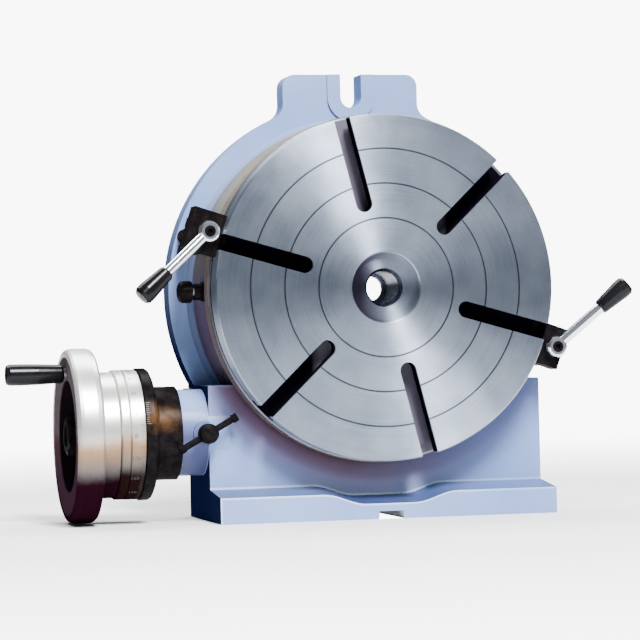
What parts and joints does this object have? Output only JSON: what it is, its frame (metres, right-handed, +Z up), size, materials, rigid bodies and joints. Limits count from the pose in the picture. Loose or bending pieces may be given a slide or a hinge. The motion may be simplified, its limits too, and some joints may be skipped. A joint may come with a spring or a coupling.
{
  "type": "rotary table",
  "caption": "Horizontal and vertical rotary table on its foot: round T-slotted face, slotted lug, rim clamps with levers, worm handwheel with crank grip and micrometer dial.",
  "frame": {"origin": "on the foot plane at the back mounting face, under the table axis, where the foot keyway meets the back face", "axes": "+Z up from the foot; -Y out of the table face towards the user; +X right, away from the handwheel"},
  "size_m": [0.4518, 0.1364, 0.328],
  "materials": {
    "cast_paint": "semi-gloss paint over sand casting",
    "ground_iron": "fine ground",
    "steel": "turned",
    "bronze": "turned bronze",
    "brass": "turned",
    "black_oxide": "black oxide",
    "satin_metal": "satin turned",
    "chrome": "polished",
    "black_plastic": "moulded"
  },
  "bodies": {
    "base": {"base_casting": "cast_paint", "spindle_bushing": "bronze", "thrust_washer": "bronze", "lock_plug": "bronze", "clamp_dog_left": "black_oxide", "clamp_dog_right": "black_oxide", "clamp_studs": "black_oxide", "dog_springs": "steel", "index_bushing": "black_oxide", "oiler_cups": "brass"},
    "table": {"table_plate": "ground_iron", "centre_sleeve": "steel", "worm_wheel": "bronze", "wheel_screws": "black_oxide", "retaining_ring": "steel", "ring_screws": "black_oxide"},
    "sleeve": {"eccentric_sleeve": "black_oxide", "vernier_ring": "black_oxide", "vernier_screws": "steel", "worm_bushings": "bronze", "thrust_rings": "bronze"},
    "worm": {"worm_shaft": "steel", "worm_lock_nuts": "black_oxide", "handwheel": "satin_metal", "wheel_key": "steel", "wheel_washer": "black_oxide", "wheel_nut": "black_oxide", "crank_stud": "steel", "dial_clamp_ring": "satin_metal"},
    "dial": {"micrometer_dial": "satin_metal"},
    "crank": {"crank_grip": "black_plastic"},
    "lock": {"lock_screw": "black_oxide"},
    "lock_bar_body": {"lock_bar": "black_oxide"},
    "lever_left": {"clamp_lever_left": "chrome", "clamp_grip_left": "black_plastic", "lever_screw_left": "black_oxide"},
    "lever_right": {"clamp_lever_right": "chrome", "clamp_grip_right": "black_plastic", "lever_screw_right": "black_oxide"},
    "index_plunger": {"index_pin": "steel", "index_knob": "black_oxide"}
  },
  "joints": [
    {"name": "table_spin", "type": "hinge", "parent": "base", "child": "table", "pos_m": [0, -0.08, 0.166], "axis": [0, -1, 0], "continuous": true},
    {"name": "sleeve_turn", "type": "hinge", "parent": "base", "child": "sleeve", "pos_m": [-0.1, -0.045, 0.064], "axis": [1, 0, 0], "range_deg": [0, 50]},
    {"name": "worm_spin", "type": "hinge", "parent": "sleeve", "child": "worm", "pos_m": [-0.1, -0.051, 0.064], "axis": [1, 0, 0], "continuous": true},
    {"name": "dial_zero", "type": "hinge", "parent": "worm", "child": "dial", "pos_m": [-0.18, -0.051, 0.064], "axis": [1, 0, 0], "continuous": true},
    {"name": "crank_spin", "type": "hinge", "parent": "worm", "child": "crank", "pos_m": [-0.24, -0.051, 0.109], "axis": [1, 0, 0], "continuous": true},
    {"name": "lock_turn", "type": "hinge", "parent": "base", "child": "lock", "pos_m": [-0.128, -0.085, 0.064], "axis": [0, -1, 0], "range_deg": [-100, 20]},
    {"name": "lock_bar_slide", "type": "slide", "parent": "lock", "child": "lock_bar_body", "axis": [0.8746, 0, 0.4848], "range_m": [-0.01, 0.008]},
    {"name": "lever_left_turn", "type": "hinge", "parent": "base", "child": "lever_left", "pos_m": [-0.12887, -0.108, 0.20787], "axis": [0, -1, 0], "range_deg": [-40, 30]},
    {"name": "lever_right_turn", "type": "hinge", "parent": "base", "child": "lever_right", "pos_m": [0.12765, -0.108, 0.12055], "axis": [0, -1, 0], "range_deg": [-40, 30]},
    {"name": "index_push", "type": "slide", "parent": "base", "child": "index_plunger", "axis": [1, 0, 0], "range_m": [0, 0.007]}
  ],
  "couplings": [
    {"joint": "worm_spin", "follows": "table_spin", "ratio": 120}
  ]
}
